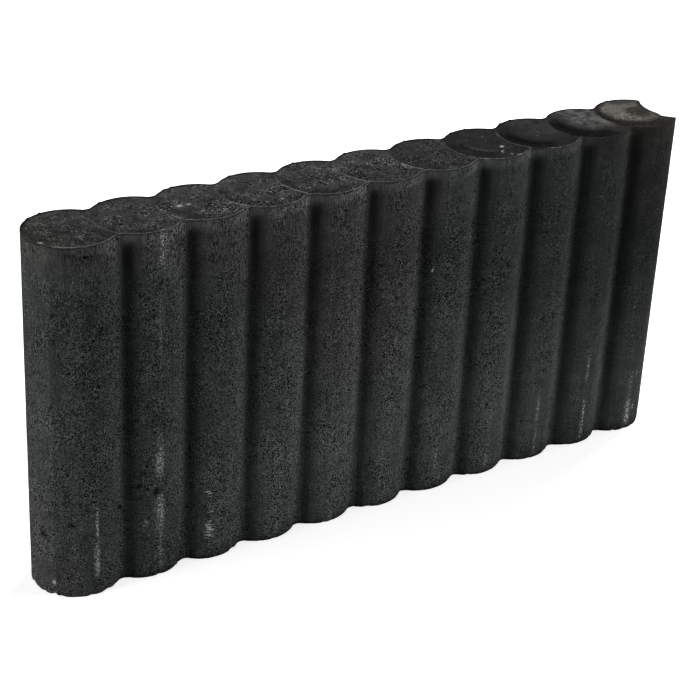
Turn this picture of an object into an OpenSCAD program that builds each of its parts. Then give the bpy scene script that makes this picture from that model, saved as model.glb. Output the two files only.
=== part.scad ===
// Interlocking concrete palisade for edging lawns, beds and paths.
// One cast block in the form of a row of round columns, grown together side by side.
// The first column's free side is the round end of the block. The last column is hollowed by a
// groove of the same curve, so that the round end of the next block sits in it.
// Every column top is a low bevelled flat, which stops where the next column begins.
//
// Frame: +X runs along the block towards the groove, +Y through its thickness, +Z up.
// The origin is the centre of the base.

/* [Block] */
// Length that one block adds to a laid edging, from one round end to the next
laid_l = 500; // [400:1:620]
// Number of columns in the block
column_count = 11; // [10:1:13]
// Height from the base to the flat column tops
block_h = 250; // [100:5:600]

/* [Columns] */
// Radius of each column, which is half of the block's thickness
column_r = 30; // [25:0.5:36]
// Radius of the rounded valley between two columns
valley_r = 6; // [3:0.5:10]

/* [Interlock] */
// Room between the groove and the round end of the next block
groove_clearance = 0.5; // [0:0.25:2]

/* [Column tops] */
// Width of the low rim along a column's edge
rim_w = 3; // [1:0.5:5]
// Width of the slope between the rim and the flat
bevel_w = 8; // [3:0.5:10]
// Height of the flat above the rim
bevel_h = 2; // [1:0.25:5]

/* [Hidden] */
$fn = 128;

concrete_colour = [0.17, 0.17, 0.17];

pitch = laid_l / column_count;
last = column_count - 1;
rim_h = block_h - bevel_h;

// The groove has its axis where the first column of the next block stands.
groove_r = column_r + groove_clearance;
groove_axis = column_count * pitch;

// The groove and the last column's side cross in the two tips that end the block.
tip_x = last * pitch + (pow(pitch, 2) + pow(column_r, 2) - pow(groove_r, 2)) / (2 * pitch);

// Place of the first column's axis, with the block's length centred on the origin.
first_axis = (column_r - tip_x) / 2;

// A valley's circle runs into both of its columns by this hair, so that the curves truly cross.
valley_bite = 0.02;
valley_reach = column_r + valley_r - valley_bite;

// How far out along Y a valley's circle lies.
valley_y = sqrt(pow(valley_reach, 2) - pow(pitch / 2, 2));

// A point inside that overlap, counted from the column's axis along X and Y.
join = (column_r - valley_bite / 2) / valley_reach;
join_x = join * pitch / 2;
join_y = join * valley_y;

// The flat and its slope take the column's curve, inside the rim.
bevel_r = column_r - rim_w;
flat_r = bevel_r - bevel_w;

// Extra reach that carries a cut clear through what it cuts.
through = 1;

// The web between two columns, with a rounded valley in its front and in its back.
module web_outline() {
    difference() {
        translate([join_x, -join_y]) square([pitch - 2 * join_x, 2 * join_y]);
        for (side = [-1, 1]) translate([pitch / 2, side * valley_y]) circle(r = valley_r);
    }
}

// All the columns and the webs between them, up to the rim.
module columns() {
    linear_extrude(height = rim_h) {
        for (i = [0:last]) translate([i * pitch, 0]) circle(r = column_r);
        for (i = [0:last - 1]) translate([i * pitch, 0]) web_outline();
    }
}

// The bevelled flats on the rim. Each but the last is cut away where the next column stands.
module column_tops() {
    for (i = [0:last]) translate([i * pitch, 0, rim_h]) difference() {
        cylinder(h = bevel_h, r1 = bevel_r, r2 = flat_r);
        if (i < last) translate([pitch, 0, -through]) cylinder(h = bevel_h + 2 * through, r = column_r);
    }
}

// The round hollow that takes the next block's round end.
module groove() {
    translate([groove_axis, 0, -through]) cylinder(h = block_h + 2 * through, r = groove_r);
}

module palisade() {
    color(concrete_colour) translate([first_axis, 0, 0]) difference() {
        union() {
            columns();
            column_tops();
        }
        groove();
    }
}

palisade();
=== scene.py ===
"""Concrete palisade: the finish of one cast block of fused round columns.

The block is one closed skin, worked out with numpy on a net that follows the block's plan. Its tops
carry the bevelled flats, the thin burr that the mould leaves and the coarse grain, and its walls carry
the drag lines of the mould and the wear along the base. Lengths are in millimetres until a mesh is made.
"""

import logging
import math
from dataclasses import dataclass, fields
from enum import Enum

import bpy
import numpy as np
from mathutils import Matrix, Vector


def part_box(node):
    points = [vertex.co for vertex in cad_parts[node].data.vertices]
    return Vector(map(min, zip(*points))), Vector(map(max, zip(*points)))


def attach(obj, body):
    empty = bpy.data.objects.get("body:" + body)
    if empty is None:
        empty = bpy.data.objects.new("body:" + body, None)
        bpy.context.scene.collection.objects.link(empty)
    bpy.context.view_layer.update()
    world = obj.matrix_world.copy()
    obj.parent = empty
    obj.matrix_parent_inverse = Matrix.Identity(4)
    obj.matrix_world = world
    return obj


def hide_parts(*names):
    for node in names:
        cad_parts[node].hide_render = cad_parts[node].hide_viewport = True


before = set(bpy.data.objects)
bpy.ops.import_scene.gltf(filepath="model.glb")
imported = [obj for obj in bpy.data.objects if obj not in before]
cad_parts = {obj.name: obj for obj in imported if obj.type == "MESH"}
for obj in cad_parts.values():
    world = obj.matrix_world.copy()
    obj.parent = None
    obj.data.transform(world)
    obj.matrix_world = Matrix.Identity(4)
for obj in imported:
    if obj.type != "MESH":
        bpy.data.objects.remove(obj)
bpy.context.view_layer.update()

MM = 0.001
log = logging.getLogger("palisade")

Array = np.ndarray
Size = tuple[float, float, float]
Colour = tuple[float, float, float, float]
Socket = bpy.types.NodeSocket
WHITE: Colour = (1.0, 1.0, 1.0, 1.0)


# ---------------------------------------------------------------------------------------------
# Small surface maths
# ---------------------------------------------------------------------------------------------


def ease(low: float, high: float, value: Array) -> Array:
    """Share that rises from 0 at low to 1 at high: 3 q squared less 2 q cubed, q held to 0..1."""
    q = np.clip((value - low) / (high - low), 0.0, 1.0)
    return q * q * (3.0 - 2.0 * q)


def bell(value: Array, width: float, power: int = 2) -> Array:
    """Bell curve: e to the minus (value over width) to a power, flatter on top where that is 4."""
    return np.exp(-((value / width) ** power))


@dataclass(frozen=True)
class Grain:
    """Smooth random relief in space, the same on every run.

    Args:
        seed: picks one pattern.
        octaves: how many sizes of lump are summed.
        cell: size of the largest lumps along each axis.
        move: shifts the pattern along each axis.
        weights: make one number of a corner's three coordinates and the seed.
        spread: large multiple whose fraction is the random number.
        turn: what the seed grows by from one octave to the next.
    """

    seed: float
    octaves: int
    cell: Size
    move: Size = (0.0, 0.0, 0.0)
    weights: tuple[float, float, float, float] = (127.1, 311.7, 74.7, 53.3)
    spread: float = 43758.5453
    turn: float = 17.0

    def cells(self, x: Array, y: Array, z: Array | float, seed: float) -> Array:
        """Value noise: a random number at each whole-number corner, eased between the corners.

        The number at a corner is the fraction of a large multiple of the sine of a weighted sum of
        its three coordinates. Between corners the eight numbers are blended by eased shares.

        Args:
            x, y, z: coordinates in cells.
            seed: picks the random numbers.

        Returns:
            Values from -1 to 1.
        """
        xi, yi, zi = np.floor(x), np.floor(y), np.floor(z)
        fx, fy, fz = (ease(0.0, 1.0, a - b) for a, b in ((x, xi), (y, yi), (z, zi)))

        def corner(dx: int, dy: int, dz: int) -> Array:
            """The random number at one corner of each cell."""
            terms = zip((xi + dx, yi + dy, zi + dz, seed), self.weights)
            return np.mod(np.sin(sum(term * weight for term, weight in terms)) * self.spread, 1.0)

        def sheet(dz: int) -> Array:
            """The four corners at one height, put together along X and then along Y.

            Args:
                dz: 0 for the lower corners, 1 for the upper ones.

            Returns:
                Values from 0 to 1.
            """
            front = corner(0, 0, dz) * (1 - fx) + corner(1, 0, dz) * fx
            back = corner(0, 1, dz) * (1 - fx) + corner(1, 1, dz) * fx
            return front * (1 - fy) + back * fy

        return 2.0 * (sheet(0) * (1 - fz) + sheet(1) * fz) - 1.0

    def at(self, x: Array, y: Array | float, z: Array | float = 0.0) -> Array:
        """Sum of octaves, each half as large and half as strong as the one before.

        Args:
            x, y, z: coordinates in millimetres.

        Returns:
            Values that stay mostly within -1 to 1.
        """
        total, share, weight = 0.0, 1.0, 0.0
        for octave in range(self.octaves):
            axes = zip((x, y, z), self.move, self.cell)
            place = (2.0**octave * (axis + move) / cell for axis, move, cell in axes)
            total = total + share * self.cells(*place, self.seed + self.turn * octave)
            weight += share
            share *= 0.5
        return total / weight


# ---------------------------------------------------------------------------------------------
# Plan of the block
# ---------------------------------------------------------------------------------------------


@dataclass(frozen=True)
class Plan:
    """The block's outline and the net of lines laid across it.

    The net has stations along the front edge, numbered by s, and lines across the block, on which t
    runs from -1 at the front edge to 1 at the back edge. Every line is the shallow arc of the groove,
    stretched to the thickness at its station, so the first line is the round end's own curve and the
    last one is the groove.
    """

    columns: int = 11
    laid_length: float = 500.0
    column_r: float = 30.0
    valley_r: float = 6.0
    groove_room: float = 0.5
    half_length: float = 253.47
    arc_steps: int = 26
    valley_steps: int = 11
    rim_step: float = 0.5
    rim_lines: int = 9
    inner_lines: int = 42

    @property
    def pitch(self) -> float:
        """Distance from one column's axis to the next."""
        return self.laid_length / self.columns

    @property
    def last(self) -> int:
        """Number of the last column, where the first is number 0."""
        return self.columns - 1

    @property
    def first_axis(self) -> float:
        """Place of the first column's axis along X."""
        return self.column_r - self.half_length

    @property
    def groove_r(self) -> float:
        """Radius of the groove."""
        return self.column_r + self.groove_room

    def axis(self, column: Array | float) -> Array | float:
        """Place along X of a column's axis, where the first column is number 0."""
        return self.first_axis + column * self.pitch

    def phase(self, x: Array) -> Array:
        """Place across the column, from -0.5 in the valley on its left to 0.5 in the one on its right."""
        return np.mod((x - self.first_axis) / self.pitch + 0.5, 1.0) - 0.5

    def groove_gap(self, x: Array, y: Array) -> Array:
        """Distance out from the groove's wall."""
        return np.hypot(x - self.axis(self.columns), y) - self.groove_r

    def front_edge(self) -> dict[str, Array]:
        """The front edge of the plan, from the round end to the groove's tip.

        A column's arc is x = axis + R sin a, y = -R cos a. A valley's arc lies on a circle that
        touches both columns: x = middle + r sin b, y = -(far) + r cos b, where far is the height of
        the triangle with sides R + r, R + r and the pitch.

        Returns:
            Arrays x, y, out_x, out_y (the outward direction) and run, the length along the edge.
        """
        half = self.pitch / 2
        touch = math.asin(half / (self.column_r + self.valley_r))
        far = (self.column_r + self.valley_r) * math.cos(touch)
        end = math.asin(half / self.column_r)
        tip_along = (self.pitch**2 + self.column_r**2 - self.groove_r**2) / (2 * self.pitch)
        tip = math.asin(tip_along / self.column_r)
        arcs = []
        for column in range(self.columns):
            start = -end if column == 0 else -touch
            stop = tip if column == self.last else touch
            a = np.linspace(start, stop, self.arc_steps + 1)
            out = np.stack([np.sin(a), -np.cos(a)])
            arcs.append([self.axis(column) + self.column_r * out[0], self.column_r * out[1], *out])
            if column < self.last:
                b = np.linspace(-touch, touch, self.valley_steps + 1)[1:-1]
                out = np.stack([-np.sin(b), -np.cos(b)])
                middle = self.axis(column + 0.5)
                arcs.append([middle - self.valley_r * out[0], -far - self.valley_r * out[1], *out])
        x, y, out_x, out_y = np.concatenate(arcs, axis=1)
        run = np.concatenate([[0.0], np.cumsum(np.hypot(np.diff(x), np.diff(y)))])
        return {"x": x, "y": y, "out_x": out_x, "out_y": out_y, "run": run}

    def across(self) -> Array:
        """The lines' places t from -1 to 1, close together near both edges.

        Returns:
            One place per line.
        """
        reach = self.rim_step * self.rim_lines
        edge = np.linspace(0.0, reach, self.rim_lines + 1) / self.column_r
        inner = np.linspace(-1.0 + edge[-1], 1.0 - edge[-1], self.inner_lines + 1)
        return np.concatenate([-1.0 + edge[:-1], inner, 1.0 - edge[:-1][::-1]])

    def net(self) -> tuple[Array, Array]:
        """Plan places of every crossing of the net.

        The sag of a line is sqrt(R^2 - (t Y)^2) - sqrt(R^2 - Y^2), where Y is the half thickness at
        a seam. It is taken from the station's x, and y is t times the station's half thickness. R and
        Y pass from the round end's to the groove's over the last column.

        Returns:
            Arrays x and y with one row per station and one column per line.
        """
        edge = self.front_edge()
        t = self.across()[None, :]
        share = ease(self.axis(self.last), edge["x"][-1], edge["x"])[:, None]
        half_seam = math.sqrt(self.column_r**2 - (self.pitch / 2) ** 2)
        radius = self.column_r + self.groove_room * share
        seam = half_seam + (-edge["y"][-1] - half_seam) * share
        sag = np.sqrt(radius**2 - (t * seam) ** 2) - np.sqrt(radius**2 - seam**2)
        return edge["x"][:, None] - sag, -t * edge["y"][:, None]

    def rim_gap(self, x: Array, y: Array) -> Array:
        """How far each crossing of the net lies in from the block's edge.

        It is the least of three gaps: to the front or back edge along the net's line, to the round
        end's circle, and to the groove.

        Args:
            x, y: the crossings.

        Returns:
            Distances from 0.
        """
        gap = (1.0 - np.abs(self.across()))[None, :] * -self.front_edge()["y"][:, None]
        first_gap = self.column_r - np.hypot(x - self.first_axis, y)
        gap = np.where(x < self.first_axis, np.minimum(gap, first_gap), gap)
        return np.maximum(np.minimum(gap, self.groove_gap(x, y)), 0.0)


# ---------------------------------------------------------------------------------------------
# Tops
# ---------------------------------------------------------------------------------------------


@dataclass(frozen=True)
class TopCast:
    """How one column's top came out of the press.

    Args:
        dip: depth of the low ring round the flat, under the full height.
        burr: height of the burr along the front rim, as a share.
        seam: brightness of the seam with the column before, at the front.
        seam_back: the same at the back of that seam.
        coarse: strength of the coarse grain.
        tone: brightness against the rest of the block.
        dust: how much pale dust lies on it.
        brown: how brown that dust is.
        flat: how far in from the rim the flat begins.
        slope: width of the slope up to the flat.
        ring: brightness of the low ring against the flat, a painted shade.
        burr_from: where the front burr begins, from the column's axis along X.
        ragged: how uneven the burr is.
        right, back: how far the flat's middle lies from the column's axis.
        sweep: how far the low ring runs to each side of its middle, in degrees.
    """

    dip: float
    burr: float
    seam: float
    seam_back: float
    coarse: float
    tone: float = 1.0
    dust: float = 0.0
    brown: float = 0.0
    flat: float = 9.5
    slope: float = 6.0
    ring: float = 0.78
    burr_from: float = -40.0
    ragged: float = 0.6
    right: float = 0.0
    back: float = 0.0
    sweep: float = 75.0


TOPS = (
    TopCast(0.4, 1.2, 0.0, 0.0, coarse=0.8, tone=0.82, ring=0.9, burr_from=-26.0, ragged=0.2),
    TopCast(0.7, 1.0, 0.4, 0.1, coarse=0.8, tone=0.96, ring=0.8, ragged=0.25),
    TopCast(0.5, 1.05, 0.6, 0.1, coarse=0.95, tone=1.03, ring=0.85, ragged=0.35),
    TopCast(0.7, 1.05, 0.7, 0.55, coarse=1.0, ring=0.7, ragged=0.35),
    TopCast(0.7, 1.0, 0.9, 0.5, coarse=1.0, ring=0.66, ragged=0.35),
    TopCast(0.4, 1.0, 0.75, 0.55, coarse=1.0, tone=1.05, ring=0.85, ragged=0.4),
    TopCast(0.6, 0.95, 0.8, 0.25, coarse=0.75, tone=0.68, ring=0.85, ragged=0.4),
    TopCast(
        1.2, 0.7, 0.32, 0.22, coarse=0.2, tone=0.385, flat=12.0, slope=2.5, ring=0.55, ragged=1.0,
        right=2.0, back=3.0, sweep=50.0,
    ),
    TopCast(
        1.7, 0.8, 0.30, 0.38, coarse=0.1, tone=0.37, dust=0.18, flat=10.0, slope=4.0, ring=0.45,
        burr_from=-16.0, right=3.0, back=3.5, sweep=60.0,
    ),
    TopCast(
        1.8, 0.0, 0.0, 0.0, coarse=0.12, tone=0.5, dust=1.0, flat=11.5, slope=4.0, ring=0.32,
        right=3.0, back=4.0, sweep=86.0,
    ),
    TopCast(
        1.5, 0.0, 0.0, 0.0, coarse=0.3, tone=0.6, dust=1.0, brown=1.0, slope=3.0, ring=0.42,
        right=-1.0, back=5.0, sweep=105.0,
    ),
)

# Number of the top whose burr runs on round the edge of its flat, where the first is number 0.
INNER_ARC_TOP = 7


@dataclass(frozen=True)
class Bump:
    """A small lump or hollow at a place of the plan, in millimetres."""

    x: float
    y: float
    width: float
    height: float


BACK_BURRS = (
    Bump(-239.9, 25.0, 1.1, 0.9),
    Bump(-229.4, 29.0, 0.9, 1.2),
    Bump(-190.0, 26.0, 0.9, 0.8),
    Bump(-144.0, 27.0, 0.9, 0.8),
    Bump(-137.0, 29.0, 0.9, 0.9),
    Bump(-94.5, 27.0, 1.0, 1.0),
    Bump(-45.0, 29.0, 0.9, 0.8),
    Bump(-4.6, 28.5, 1.0, 1.4),
    Bump(46.0, 29.0, 0.9, 0.8),
    Bump(84.0, 26.0, 1.0, 1.1),
    Bump(98.0, 29.0, 0.9, 0.9),
    Bump(127.0, 26.0, 1.1, 1.2),
    Bump(138.0, 29.0, 0.9, 0.8),
    Bump(229.0, 29.0, 1.0, 0.7),
)

CRUMBS = (
    Bump(-248.4, -12.2, 1.2, 1.7),
    Bump(-147.6, -0.8, 2.4, 1.25),
    Bump(-141.6, -1.2, 1.9, 1.2),
    Bump(-138.5, 1.5, 1.2, 0.6),
    Bump(-150.5, -3.0, 1.0, 0.5),
    Bump(-174.0, -28.2, 1.5, 1.1),
    Bump(100.2, -10.3, 1.8, 0.95),
    Bump(96.6, -17.0, 1.6, 0.75),
    Bump(103.3, -26.6, 1.9, 1.0),
    Bump(99.5, -22.7, 1.3, 0.75),
    Bump(98.8, 10.3, 1.0, 0.55),
    Bump(80.0, 12.0, 1.3, 0.45),
    Bump(84.5, 10.5, 1.2, 0.45),
    Bump(140.5, 0.5, 1.3, 0.45),
    Bump(136.5, -5.0, 1.4, 0.40),
    Bump(184.5, 8.0, 1.8, 0.40),
    Bump(181.0, 4.0, 1.4, 0.35),
)

# Where the base's edge is chipped deepest: each reaches back as far as its y, and is as high as it says.
BASE_CHIPS = (Bump(-249.0, 5.0, 7.0, 3.0), Bump(-152.0, 0.0, 5.0, 1.4))


@dataclass(frozen=True)
class Spots:
    """Places on the tops, each field an array of the same shape.

    Args:
        x, y: plan places.
        rim_gap: distance in from the block's own edge.
        own: number of the column that the place belongs to.
        inside: distance in from that column's circle.
        beyond: distance out from the next column's circle.
        beside: distance along X from the column's axis.
        wobble, fine: slow and fine uneven noise.
        cast: how the column's top was cast.
    """

    x: Array
    y: Array
    rim_gap: Array
    own: Array
    inside: Array
    beyond: Array
    beside: Array
    wobble: Array
    fine: Array
    cast: TopCast


@dataclass(frozen=True)
class TopRelief:
    """Height of the block's top, and the masks that its finish reads.

    The fields are drops under the full height, heights and widths in millimetres, and shares.
    """

    plan: Plan
    height: float = 250.0
    rim_drop: float = 0.35
    back_drop: float = 0.65
    flat_drop: float = 0.18
    least_drop: float = 0.02
    rim_w: float = 2.6
    back_w: float = 5.0
    burr: float = 0.75
    burr_at: float = 0.2
    burr_w: float = 0.45
    groove_drop: float = 0.5
    groove_w: float = 3.0
    torn_middle: float = 0.75
    torn_fine: float = 0.6
    torn_least: float = 0.1
    torn_most: float = 1.3
    seam_height: float = 0.5
    inner_arc: float = 0.55
    inner_arc_w: float = 0.9
    back_half: float = 10.0
    back_burr_w: float = 1.2
    back_coarse_less: float = 0.35
    burr_clear: float = 2.0
    burr_pale: float = 0.6
    ring_dust_less: float = 0.95
    least_rough: float = 0.1
    uneven: float = 0.25
    uneven_coarse: float = 1.3
    ring_toward: tuple[float, float] = (-0.866, -0.5)
    ring_fade: float = 0.3
    pale_rim: float = 0.8
    lump: float = 0.38
    low_lump: float = 0.22
    lumps: Grain = Grain(3.0, 3, (3.6, 3.6, 1.0))
    low_lumps: Grain = Grain(3.0, 3, (16.0, 16.0, 1.0), move=(0.0, 0.0, 9.0))
    wobble: Grain = Grain(11.0, 2, (9.0, 9.0, 1.0))
    fine: Grain = Grain(11.0, 2, (2.4, 2.4, 1.0), move=(50.0, 0.0, 0.0))

    def of_tops(self, field: str, column: Array) -> Array:
        """One value of TopCast for each column number."""
        return np.array([getattr(top, field) for top in TOPS])[column]

    def spots(self, x: Array, y: Array, rim_gap: Array) -> Spots:
        """Finds each place's column: the last one whose circle holds it, or else the nearest.

        Args:
            x, y: plan places.
            rim_gap: distance in from the block's own edge.

        Returns:
            The places with all that is known of them.
        """
        centre = self.plan.axis(np.arange(self.plan.columns + 1))
        gap = self.plan.column_r - np.hypot(x[..., None] - centre, y[..., None])
        held = gap[..., :-1] > 0.0
        last_held = self.plan.last - np.argmax(held[..., ::-1], axis=-1)
        own = np.where(held.any(axis=-1), last_held, np.argmax(gap[..., :-1], axis=-1))
        inside = np.take_along_axis(gap, own[..., None], axis=-1)[..., 0]
        beyond = -np.take_along_axis(gap, own[..., None] + 1, axis=-1)[..., 0]
        cast = TopCast(**{part.name: self.of_tops(part.name, own) for part in fields(TopCast)})
        beside = x - self.plan.axis(own)
        wobble, fine = self.wobble.at(x, y), self.fine.at(x, y)
        return Spots(x, y, rim_gap, own, inside, beyond, beside, wobble, fine, cast)

    def build(self, x: Array, y: Array, rim_gap: Array) -> dict[str, Array]:
        """Height and masks at each place.

        The height is the full height less the drop of the slopes, plus the burrs and seams, less
        an eased share along the groove and less the grain, and it never passes the full height.

        Args:
            x, y: plan places.
            rim_gap: distance in from the block's own edge.

        Returns:
            Arrays z and one per mask.
        """
        spots = self.spots(x, y, rim_gap)
        cast = spots.cast
        drop, ring, on_flat = self.slopes(spots)
        torn = self.torn_fine * spots.fine + (1.0 - self.torn_fine) * spots.wobble
        torn = np.clip(self.torn_middle + cast.ragged * torn, self.torn_least, self.torn_most)
        crest = self.crest(spots)
        seam, seam_line = self.seam(spots)
        seam_height = self.seam_height * seam_line * np.minimum(seam, 1.0)
        drop = drop - self.burr * np.maximum(crest * torn, seam_height)
        arc = bell(on_flat, self.inner_arc_w) * ease(4.0, -6.0, y) * ease(2.0, -6.0, spots.beside)
        crest = np.maximum(crest, self.inner_arc * arc * (spots.own == INNER_ARC_TOP))
        at_back = (y > self.back_half) * bell(rim_gap, self.back_burr_w)
        for lump in BACK_BURRS:
            drop = drop - lump.height * bell(x - lump.x, lump.width) * at_back
        drop = drop + self.groove_drop * ease(self.groove_w, 0.0, self.plan.groove_gap(x, y))
        coarse = cast.coarse * (1.0 - self.back_coarse_less * ease(0.0, 14.0, y))
        lumps = self.lump * self.lumps.at(x, y) + self.low_lump * self.low_lumps.at(x, y)
        drop = drop - coarse * lumps * ease(0.0, self.burr_clear, np.abs(rim_gap - self.burr_at))
        return {
            "z": self.height - np.maximum(drop, self.least_drop),
            # painted shade: the low ring darkens its front-left side and edge_shade a band along the back
            # rim; the dust is cleared where the ring's shade lies
            "tone": cast.tone * (1.0 - (1.0 - cast.ring) * ring) * self.edge_shade(spots),
            "burr": np.clip(crest * (self.burr_pale + (1.0 - self.burr_pale) * torn), 0.0, 1.0),
            "seam": seam,
            "dust": self.dust(spots) * (1.0 - self.ring_dust_less * ring),
            "brown": self.brown(spots),
            "lime": self.crumbs(x, y),
            "rough": self.least_rough + (1.0 - self.least_rough) * coarse,
            "coarse": coarse,
        }

    def slopes(self, spots: Spots) -> tuple[Array, Array, Array]:
        """The bevelled form of the tops.

        With d the distance in from the column's circle, the front falls by an eased share from the
        rim to the low ring, and rises by an eased share over the bevel to the flat. At the back it
        rises from the rim straight to the flat. The ring is painted shade where the top is low, on the
        side towards the front left, round to its sweep.

        Args:
            spots: the places.

        Returns:
            The drop under the full height, the strength of the low ring's painted shade, and the
            distance in from the flat's edge.
        """
        cast, y, beside = spots.cast, spots.y, spots.beside
        on_last = spots.own == self.plan.last
        near = spots.inside + (self.uneven + self.uneven_coarse * cast.coarse) * spots.wobble
        off_middle = np.hypot(beside - cast.right, y - cast.back)
        on_flat = self.plan.column_r - cast.flat - off_middle + near - spots.inside
        fall = ease(0.5, self.rim_w, near)
        rise = ease(-1.0, 0.0, on_flat / cast.slope)
        front = (self.rim_drop + (cast.dip - self.rim_drop) * fall) * (1.0 - rise) + self.flat_drop * rise
        back_rise = ease(0.0, self.back_w, near)
        back = self.rim_drop + (self.back_drop - self.rim_drop) * ease(8.0, 20.0, y)
        back = back * (1.0 - back_rise) + self.flat_drop * back_rise
        not_right = ease(24.0, 12.0, beside)
        around = ease(26.0, 6.0, y) * not_right
        drop = back + (front - back) * around

        # painted shade on the low ring, on its side towards the front left, away from the key lamp
        toward = self.ring_toward[0] * beside + self.ring_toward[1] * y
        toward = toward / np.maximum(np.hypot(beside, y), 1.0)
        sweep = np.radians(cast.sweep)
        ring = ease(np.cos(sweep + self.ring_fade), np.cos(sweep - self.ring_fade), toward) * (1.0 - rise)
        ring = ring * np.where(on_last, ease(34.0, 26.0, y) * not_right, around)
        ring = ring * np.maximum(fall, on_last * ease(4.0, 12.0, y))
        pale_rim = self.pale_rim * ease(4.5, 1.0, spots.inside) * ease(0.8, 0.6, cast.ring)
        ring = ring * (1.0 - pale_rim * (1.0 - on_last * ease(0.0, 8.0, y)))
        broken = np.clip(0.65 + 1.4 * spots.wobble, 0.0, 1.0)
        return drop, ring * np.where(spots.own == INNER_ARC_TOP, broken, 1.0), on_flat

    def crest(self, spots: Spots) -> Array:
        """The burr along the front rim: a bell of the distance from the rim, before it is torn.

        Args:
            spots: the places.

        Returns:
            Its height as a share.
        """
        phase = self.plan.phase(spots.x)
        crest = bell(spots.rim_gap - self.burr_at, self.burr_w) * spots.cast.burr
        crest = crest * ease(6.0, -2.0, spots.y) * ease(0.0, 6.0, spots.beside - spots.cast.burr_from)
        # stronger on the left part of each front, painted light where the lamps light that side less, and
        # weaker near the valley on its right
        return crest * (1.0 - 0.4 * ease(0.33, 0.43, phase) + 0.3 * ease(-0.05, -0.28, phase))

    def seam(self, spots: Spots) -> tuple[Array, Array]:
        """The seam between one column's top and the next.

        Its strength is eased from the front value to the back one, and it is raised by a bell of
        the distance from the seam.

        Args:
            spots: the places.

        Returns:
            The strength of the seam, and the bell across it.
        """
        y, beyond = spots.y, spots.beyond
        after = np.where(beyond < 6.0, np.minimum(spots.own + 1, self.plan.last), spots.own)
        front, back = self.of_tops("seam", after), self.of_tops("seam_back", after)
        seam = back + (front - back) * ease(6.0, -10.0, y)
        seam = seam * (1.0 + 0.6 * ease(-11.0, -19.0, y)) * ((spots.own > 0) | (spots.beside > 0.0))
        gap = np.where(beyond < 2.0, beyond, np.abs(spots.inside))
        return seam * ease(17.0, 9.0, y), bell(gap, 1.0) * ease(1.0, 3.0, spots.rim_gap)

    def edge_shade(self, spots: Spots) -> Array:
        """Brightness near the edges: dark along the back, and duller on the last top's front rim.

        Args:
            spots: the places.

        Returns:
            Shares of the plain tone.
        """
        on_last = spots.own == self.plan.last
        back = bell(spots.rim_gap, 2.9, 4) * ease(4.0, 14.0, spots.y)
        back = 1.0 - (0.84 + 0.12 * ease(-2.0, -16.0, spots.beside)) * back
        return back * (1.0 - 0.4 * on_last * bell(spots.rim_gap, 1.5) * ease(6.0, -4.0, spots.y))

    def crumbs(self, x: Array, y: Array) -> Array:
        """Crumbs of lime on the tops, each a bell in plan."""
        away = ((crumb, np.hypot(x - crumb.x, y - crumb.y)) for crumb in CRUMBS)
        return np.maximum.reduce([crumb.height * bell(gap, crumb.width) for crumb, gap in away])

    def dust(self, spots: Spots) -> Array:
        """Dust on the flats, thin near the rims.

        Before the last top it grows by eased shares to the right and back of the flat. On the last
        top it lies in three arcs, bells of the distance from the axis, and is thin in the hollow
        beside the groove and along the groove. It is thin too beside the back of that top's seam.

        Args:
            spots: the places.

        Returns:
            Shares from 0 to 1.
        """
        beside, y = spots.beside, spots.y
        away = np.hypot(beside, y)
        left = bell(away - 14.0, 8.0) * ease(3.0, -7.0, beside) * ease(-17.0, -9.0, y)
        front = 0.6 * bell(away - 15.0, 6.0) * ease(-8.0, 2.0, beside) * ease(0.0, -8.0, y)
        back = 0.8 * ease(8.0, 14.0, y) * (1.0 - 0.6 * ease(16.0, 20.0, y) * ease(-8.0, 0.0, beside))
        back = back * (1.0 - ease(23.0, 26.0, away) * ease(-4.0, -10.0, beside))
        hollow = bell(beside - 5.5, 5.0) * bell(y + 0.5, 7.0)
        arm = 0.85 * ease(6.0, 3.0, self.plan.groove_gap(spots.x, y))
        last = np.clip(0.08 + left + front + back, 0.0, 1.0) * (1.0 - 0.9 * np.maximum(hollow, arm))
        before = ease(-17.0, -1.0, beside) * ease(-17.0, -2.0, y)
        bare = 0.6 * ease(5.0, 2.0, spots.beyond) * ease(2.0, 8.0, y) * (spots.own == self.plan.last - 1)
        lies = np.where(spots.own == self.plan.last, last, before) * (1.0 - bare)
        return spots.cast.dust * lies * ease(1.0, 4.0, spots.rim_gap)

    def brown(self, spots: Spots) -> Array:
        """Brown cast: the last top but for its back, beside its seam, and the first top's outer part.

        Args:
            spots: the places.

        Returns:
            Shares from 0 to 1.
        """
        x, y = spots.x, spots.y
        first_axis, last_axis = self.plan.first_axis, self.plan.axis(self.plan.last)
        first = 0.6 * ease(first_axis - 4.0, first_axis - 16.0, x)
        last = spots.cast.brown * (1.0 - 0.9 * ease(16.0, 20.0, y) * ease(last_axis - 8.0, last_axis, x))
        reach = 5.0 + 5.0 * ease(4.0, -4.0, y)
        spilt = 0.8 * ease(reach, 0.35 * reach, spots.beyond) * ease(18.0, 12.0, y)
        return np.where(spots.own == 0, first, np.maximum(last, spilt * (spots.own == self.plan.last - 1)))


# ---------------------------------------------------------------------------------------------
# Marks on the walls
# ---------------------------------------------------------------------------------------------


@dataclass(frozen=True)
class Face:
    """Tone and painted light of one column's wall.

    Args:
        tone: brightness near the top against the rest of the block, partly the
            column's own tone and partly painted light that falls off towards the groove end.
        brighter_base: how much brighter the base is, as a share.
        start: height from which it grows brighter downward.
        grey: height above which it is a plain grey and not a cool one.
    """

    tone: float
    brighter_base: float
    start: float = 200.0
    grey: float = 260.0


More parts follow.
